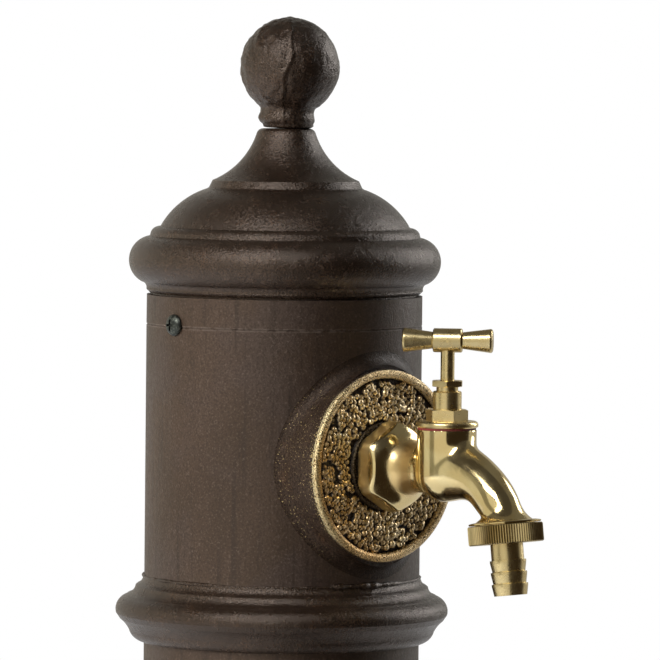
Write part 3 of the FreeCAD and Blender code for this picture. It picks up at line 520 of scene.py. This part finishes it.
def buffed_tap():
    """The tap's casting with its seams and corners rounded by buffing, and a crisp flange and thread."""
    mesh = copy_of("tap_body")
    hexagon_depth, inlet_radius = 14 * MM, 10.41 * MM
    front_forward, back_swell = 2.8 * MM, 0.025
    for v in mesh.verts:
        reach = from_inlet(v.co)
        if HEXAGON_BACK - hexagon_depth < v.co.y < HEXAGON_BACK and reach > inlet_radius:
            if v.co.y < HEXAGON_BACK - 3 * MM:
                v.co.y -= front_forward
            else:
                swell = 1.0 + back_swell * min(1.0, max(0.0, (reach - 12 * MM) / (6 * MM)))
                v.co.x *= swell
                v.co.z = TAP_HEIGHT + (v.co.z - TAP_HEIGHT) * swell
    cove = [(6, 10), (14.0, 12.6), (12.6, 14.2), (11.6, 16.0), (11.0, 18.0), (10.8, 20.0), (10.8, 27.0),
            (6, 27.0)]
    turn_round(mesh, [(radius * MM, out * MM - HEXAGON_BACK) for radius, out in cove], FROM_WALL)
    flange_radius, flange_thickness = OUTLET_FLANGE
    top = Vector(OUTLET_AXIS) - OUTLET_DOWN * (flange_thickness * 1.02)
    cut = bmesh.ops.bisect_plane(mesh, geom=mesh.verts[:] + mesh.edges[:] + mesh.faces[:], dist=0.001 * MM,
                                 plane_co=top, plane_no=OUTLET_DOWN, clear_outer=True)
    edges = [e for e in cut["geom_cut"] if isinstance(e, bmesh.types.BMEdge)]
    bmesh.ops.triangle_fill(mesh, edges=edges, use_beauty=True)
    bmesh.ops.recalc_face_normals(mesh, faces=mesh.faces)
    one_skin(mesh, 0.5 * MM)
    barrel_top = TAP_HEIGHT + 18.2 * MM
    neck_bore, neck_front, neck_back = 8.4 * MM, -98 * MM, -81 * MM

    def cast(point):
        return point.z < barrel_top and (point - top).dot(OUTLET_DOWN) < -0.8 * MM

    def blend(point):
        return cast(point) and 11 * MM < from_valve(point) < 21 * MM and point.z < TAP_HEIGHT + 16 * MM

    def hexagon(point):
        return NECK_END < point.y < HEXAGON_BACK - 1 * MM and from_inlet(point) > neck_bore

    def neck(point):
        beside = from_valve(point) > 12 * MM and from_inlet(point) > neck_bore
        return beside and neck_front < point.y < neck_back

    soften(mesh, 6, cast)
    soften(mesh, 12, blend)
    soften(mesh, 9, hexagon)
    soften(mesh, 40, neck)
    thread_radius, thread_length = OUTLET_THREAD
    edge = 0.25 * MM
    hidden = flange_thickness * 1.4
    profile = [(OUTLET_BORE, hidden), (flange_radius - 2.2 * MM, hidden),
               (flange_radius - edge, flange_thickness), (flange_radius, flange_thickness - edge),
               (flange_radius, edge), (flange_radius - edge, 0), (thread_radius, 0)]
    turns, thread_depth = 4, 0.6 * MM
    pitch = thread_length / turns
    for i in range(turns):
        profile += [(thread_radius, -pitch * (i + 0.15)), (thread_radius - thread_depth, -pitch * (i + 0.5)),
                    (thread_radius, -pitch * (i + 0.85))]
    profile += [(thread_radius - 0.5 * MM, -thread_length), (OUTLET_BORE, -thread_length)]
    turn_round(mesh, profile, Matrix.Translation(OUTLET_AXIS) @ Matrix.Rotation(-OUTLET_TILT, 4, "X"))
    return finished(mesh, "tap_body_buffed", "polished_brass", math.radians(38), "root",
                    ["tap_body"])


def barbed_tail():
    """The hose tail with its shank turned down between the nut and the barbs, and with sharper barbs."""
    mesh = copy_of("hose_tail")
    shank_radius, shank_end = 7.3 * MM, 16.2 * MM
    barb_deeper = 1.7
    for v in mesh.verts:
        arm = v.co - Vector(OUTLET_AXIS)
        along = arm.dot(OUTLET_DOWN)
        across = arm - OUTLET_DOWN * along
        radius = across.length
        if 7 * MM < radius < TAIL_RADIUS + 0.1 * MM:
            slim = TAIL_RADIUS - (TAIL_RADIUS - radius) * barb_deeper
            if along < shank_end and radius < TAIL_RADIUS - 0.05 * MM:
                slim = shank_radius
            v.co += across * (slim / radius - 1)
    return finished(mesh, "hose_tail_turned", "hose_brass", math.radians(18), "hose_tail",
                    ["hose_tail"])


def flower_relief():
    """Cast flowers of round petals that cover the face plate's ground."""
    chance = random.Random(11)
    spacing = 5.0 * MM
    mesh = bmesh.new()
    inner, outer = PLATE_HUB_RADIUS + 0.2 * MM, PLATE_GROUND_RADIUS
    ground = PLATE_GROUND + 0.25 * MM
    back = ground - 0.9 * MM
    turn_round(mesh, [(inner, back), (outer, back), (outer, ground), (inner, ground)], FROM_WALL)

    def bead(across, angle, size, height):
        centre = FROM_WALL @ Vector((across * math.cos(angle), across * math.sin(angle), ground + height))
        place = Matrix.Translation(centre) @ Matrix.Diagonal((1.0, chance.uniform(0.8, 1.05), 1.0, 1.0))
        bmesh.ops.create_icosphere(mesh, subdivisions=2, radius=size, matrix=place)

    def petal_flower(across, angle, size):
        count = chance.choice((5, 6, 6, 7))
        start = chance.uniform(0, math.tau)
        bead(across, angle, size * chance.uniform(0.42, 0.50), chance.uniform(0.5, 1.1) * MM)
        for i in range(count):
            turn = start + math.tau * i / count + chance.uniform(-0.12, 0.12)
            out = size * chance.uniform(0.90, 1.08)
            x, y = out * math.cos(turn), out * math.sin(turn)
            far = math.hypot(across + x, y)
            if inner + 0.7 * MM < far < outer - 0.7 * MM:
                bead(far, angle + math.atan2(y, across + x), size * chance.uniform(0.46, 0.62),
                     chance.uniform(0.0, 1.0) * MM)

    def somewhere():
        spread = chance.uniform((inner + 1 * MM) ** 2, (outer - 1 * MM) ** 2)
        return math.sqrt(spread), chance.uniform(0, math.tau)

    taken = []
    for _ in range(900):
        across, angle = somewhere()
        place = Vector((across * math.cos(angle), across * math.sin(angle)))
        if all((place - other).length > spacing for other in taken):
            taken.append(place)
            petal_flower(across, angle, chance.uniform(2.1, 2.9) * MM)
    for _ in range(300):
        across, angle = somewhere()
        bead(across, angle, chance.uniform(0.95, 1.9) * MM, chance.uniform(-0.5, 0.7) * MM)
    one_skin(mesh, 0.42 * MM)
    mesh.normal_update()
    hollow = mesh.verts.layers.float.new("hollow")      # how far a point lies below its neighbours
    for v in mesh.verts:
        around = sum((e.other_vert(v).co for e in v.link_edges), Vector()) / len(v.link_edges)
        v[hollow] = (around - v.co).dot(v.normal) / MM
    soften(mesh, 1)
    return finished(mesh, "plate_flowers", "flower_gold")


def cast_ball():
    """The finial with the seam of its mould and the dents of a rough casting."""
    mesh = copy_of("finial_ball")
    one_skin(mesh, 0.7 * MM)
    soften(mesh, 2)
    middle = (ball_low + ball_high) / 2
    centre = Vector((middle.x, middle.y, ball_high.z - BALL_RADIUS))
    seam_height, seam_width = 0.45, 1.0 * MM
    step_height, step_width = 0.30, 0.7 * MM        # the two halves of the mould didn't quite meet
    lump_left, lump_right, lump_size = 0.55, 0.30, 6.5 * MM
    sunk = 0.35                                     # keeps the lumps within the ball's own radius
    for v in mesh.verts:
        arm = v.co - centre
        height = max(-1.0, min(1.0, arm.z / BALL_RADIUS))
        heading = heading_of(arm)
        wave = -0.10 + 0.13 * math.sin(2.3 * height + 0.4) + 0.03 * math.sin(9.0 * height)
        flat = math.hypot(arm.x, arm.y)
        off = (heading - wave) * flat
        ridge = math.exp(-(off / seam_width) ** 2) * (seam_height if height < 0.9 else 0.1)
        step = step_height / (1 + math.exp(-off / step_width))
        lump = noise.fractal(v.co / lump_size, 0.6, 2.0, 3) * (lump_left if off < 0 else lump_right)
        push = (ridge + lump - step - sunk) * MM
        side = Vector((arm.x, arm.y, arm.z if arm.z > -18 * MM else 0.0)).normalized()
        if v.co.z > ball_low.z + 1.5 * MM:
            v.co += side * push * min(1.0, flat / (2 * MM))
        else:
            v.co.z -= BALL_GAP * (1.8 - 0.4 * math.sin(heading))
    return finished(mesh, "finial_ball_cast", "painted_casting", math.pi, "root",
                    ["finial_ball"])


def paint_bead():
    """Uneven bead of filler and paint in the corner between the ring and the tube."""
    mesh = bmesh.new()
    upright = Matrix.Translation((TUBE_RADIUS, 0, RING_TOP)) @ Matrix.Rotation(math.pi / 2, 4, "X")
    points = bmesh.ops.create_circle(mesh, segments=10, radius=1.0 * MM, matrix=upright)["verts"]
    full_spin(mesh, points, mesh.edges[:], 360)
    blob_heading, blob_width = 0.62, 0.22
    for v in mesh.verts:
        angle = math.atan2(v.co.y, v.co.x)
        core = Vector((math.cos(angle) * TUBE_RADIUS, math.sin(angle) * TUBE_RADIUS, RING_TOP))
        swell = noise.noise(Vector((math.cos(angle), math.sin(angle), 0.3)) * 4.0)
        ripple = noise.noise(Vector((math.cos(angle), math.sin(angle), 2.0)) * 14.0)
        blob = math.exp(-((heading_of(v.co) - blob_heading) / blob_width) ** 2)
        size = max(0.25, 0.7 + 0.9 * swell + 0.45 * ripple + 1.3 * blob * (0.7 + ripple))
        v.co = core + (v.co - core) * size
    return finished(mesh, "ring_filler_bead", "painted_casting")


buffed_tap()
flower_relief()
cast_ball()
paint_bead()
barbed_tail()


def stand(name, mesh, finish):
    """Puts a piece of the studio in its place."""
    data = bpy.data.meshes.new(name)
    mesh.to_mesh(data)
    mesh.free()
    thing = bpy.data.objects.new(name, data)
    bpy.context.collection.objects.link(thing)
    thing.data.materials.append(finish)
    return thing


def seen_share(m):
    """1 for what the camera, a mirror or a glass sees."""
    camera_ray, glossy_ray, transmission_ray = [
        m.node("ShaderNodeLightPath", output=name)
        for name in ("Is Camera Ray", "Is Glossy Ray", "Is Transmission Ray")]
    return m.node("ShaderNodeMath", {"operation": "MINIMUM"},
                  {0: camera_ray + glossy_ray + transmission_ray, 1: 1.0})


def cloth(name, level):
    """Cloth of an even level of light, which only mirrors see."""
    m = new_finish(name)
    weave = m.noise(4 * MM)
    colour = m.mixed(weave, level, tuple(c * 1.1 for c in level))
    glow = m.node("ShaderNodeEmission", {}, {"Color": colour, "Strength": 1.0})
    m.node("ShaderNodeOutputMaterial", {}, {"Surface": glow})
    return m.owner


def hang_flag(name, start, end, level, profile):
    """Cloth between two bearings, in degrees to the camera's right, of (distance, height) points."""
    mesh = bmesh.new()
    first = math.radians(start) - CAMERA_SWING
    points = [mesh.verts.new((away * math.sin(first), -away * math.cos(first), z)) for away, z in profile]
    edges = [mesh.edges.new(pair) for pair in zip(points, points[1:])]
    bmesh.ops.spin(mesh, geom=points + edges, cent=(0, 0, 0), axis=(0, 0, 1), angle=math.radians(end - start),
                   steps=24)
    flag = stand(name, mesh, cloth(name, level))
    flag.visible_camera = False
    flag.visible_diffuse = False
    flag.visible_shadow = False


def soft_box(name, bearing, height, away, size, watts, mirrored):
    """Square lamp that faces the tap."""
    data = bpy.data.lights.new(name, "AREA")
    data.shape = "RECTANGLE"
    data.size, data.size_y = size
    data.energy = watts
    lamp = bpy.data.objects.new(name, data)
    bpy.context.collection.objects.link(lamp)
    turn = math.radians(bearing) - CAMERA_SWING
    rise = math.radians(height)
    ray = Vector((math.sin(turn) * math.cos(rise), -math.cos(turn) * math.cos(rise), math.sin(rise)))
    target = Vector(INLET_AXIS)
    facing = ray.to_track_quat("Z", "Y").to_matrix().to_4x4()
    lamp.matrix_world = Matrix.Translation(target + ray * away) @ facing
    lamp.visible_glossy = mirrored
    lamp.visible_diffuse = not mirrored
    lamp.visible_camera = False


def studio():
    """White surroundings, with cloth and flags that the paint and the brass mirror, and a pale floor."""
    world = Finish(bpy.data.worlds.new("studio"))
    bpy.context.scene.world = world.owner
    level = seen_share(world) * (1.0 - WORLD_FILL) + WORLD_FILL
    background = world.node("ShaderNodeBackground", {}, {"Color": (1.0, 1.0, 1.0), "Strength": level})
    world.node("ShaderNodeOutputWorld", {}, {"Surface": background})

    hang_flag("scrim_left", -140, -70, (0.63, 0.61, 0.52), WALL)
    hang_flag("flag_left", -70, -50, (0.25, 0.24, 0.19), WALL)
    hang_flag("scrim_front", -50, -2, (0.69, 0.66, 0.57), WALL)
    hang_flag("flag_right", -2, 92, (0.028, 0.020, 0.013), WALL + [(0.25, CLOTH_FOOT)])
    hang_flag("scrim_right", 92, 180, (0.40, 0.385, 0.35), WALL)
    hang_flag("scrim_back", -180, -140, (0.50, 0.48, 0.43), WALL)
    hang_flag("flag_overhead", -75, 75, (0.06, 0.055, 0.05), OVERHEAD)
    hang_flag("scrim_overhead", 75, 285, (0.14, 0.13, 0.11), OVERHEAD)
    soft_box("soft_box_left", -60, 16, 2.9, (1.6, 2.2), 112, False)
    soft_box("soft_box_high", -26, 42, 2.6, (1.5, 0.6), 36, True)
    soft_box("soft_box_rim", 126, 20, 3.0, (0.8, 1.8), 26, True)

    mesh = bmesh.new()
    bmesh.ops.create_circle(mesh, cap_ends=True, segments=96, radius=CLOTH_AWAY)
    m = new_finish("floor_paper")
    grain = m.noise(2 * MM)
    paper = m.mixed(grain, (0.86, 0.86, 0.86), (0.90, 0.90, 0.90))
    lit = m.node("ShaderNodeBsdfPrincipled", {}, {"Base Color": paper, "Roughness": 0.8})
    pale = m.node("ShaderNodeEmission", {}, {"Color": paper, "Strength": 1.0})
    both = m.node("ShaderNodeMixShader", {}, {0: seen_share(m) * 0.6, 1: lit, 2: pale})
    m.node("ShaderNodeOutputMaterial", {}, {"Surface": both})
    stand("floor", mesh, m.owner)


def camera():
    """Camera at the photograph's place, with its aim, roll and lens."""
    data = bpy.data.cameras.new("photo_camera")
    data.sensor_width = SENSOR_WIDTH
    data.sensor_fit = "HORIZONTAL"
    data.lens = FOCAL_PIXELS / PHOTO_WIDTH * SENSOR_WIDTH
    data.clip_end = 100.0
    eye = bpy.data.objects.new("photo_camera", data)
    bpy.context.collection.objects.link(eye)
    heading = CAMERA_SWING + CAMERA_AIM_RIGHT
    level = Vector((math.sin(heading), math.cos(heading), 0))
    look = level * math.cos(CAMERA_AIM_DOWN) - Vector((0, 0, math.sin(CAMERA_AIM_DOWN)))
    right = look.cross(Vector((0, 0, 1))).normalized()
    up = right.cross(look)
    rolled_right = right * math.cos(CAMERA_ROLL) + up * math.sin(CAMERA_ROLL)
    rolled_up = up * math.cos(CAMERA_ROLL) - right * math.sin(CAMERA_ROLL)
    turn = Matrix((rolled_right, rolled_up, -look)).transposed().to_4x4()
    place = Vector((-math.sin(CAMERA_SWING) * CAMERA_DISTANCE, -math.cos(CAMERA_SWING) * CAMERA_DISTANCE,
                    TAP_HEIGHT + CAMERA_ABOVE_TAP))
    eye.matrix_world = Matrix.Translation(place) @ turn
    bpy.context.scene.camera = eye


studio()
camera()
bpy.context.scene.view_settings.view_transform = "Standard"
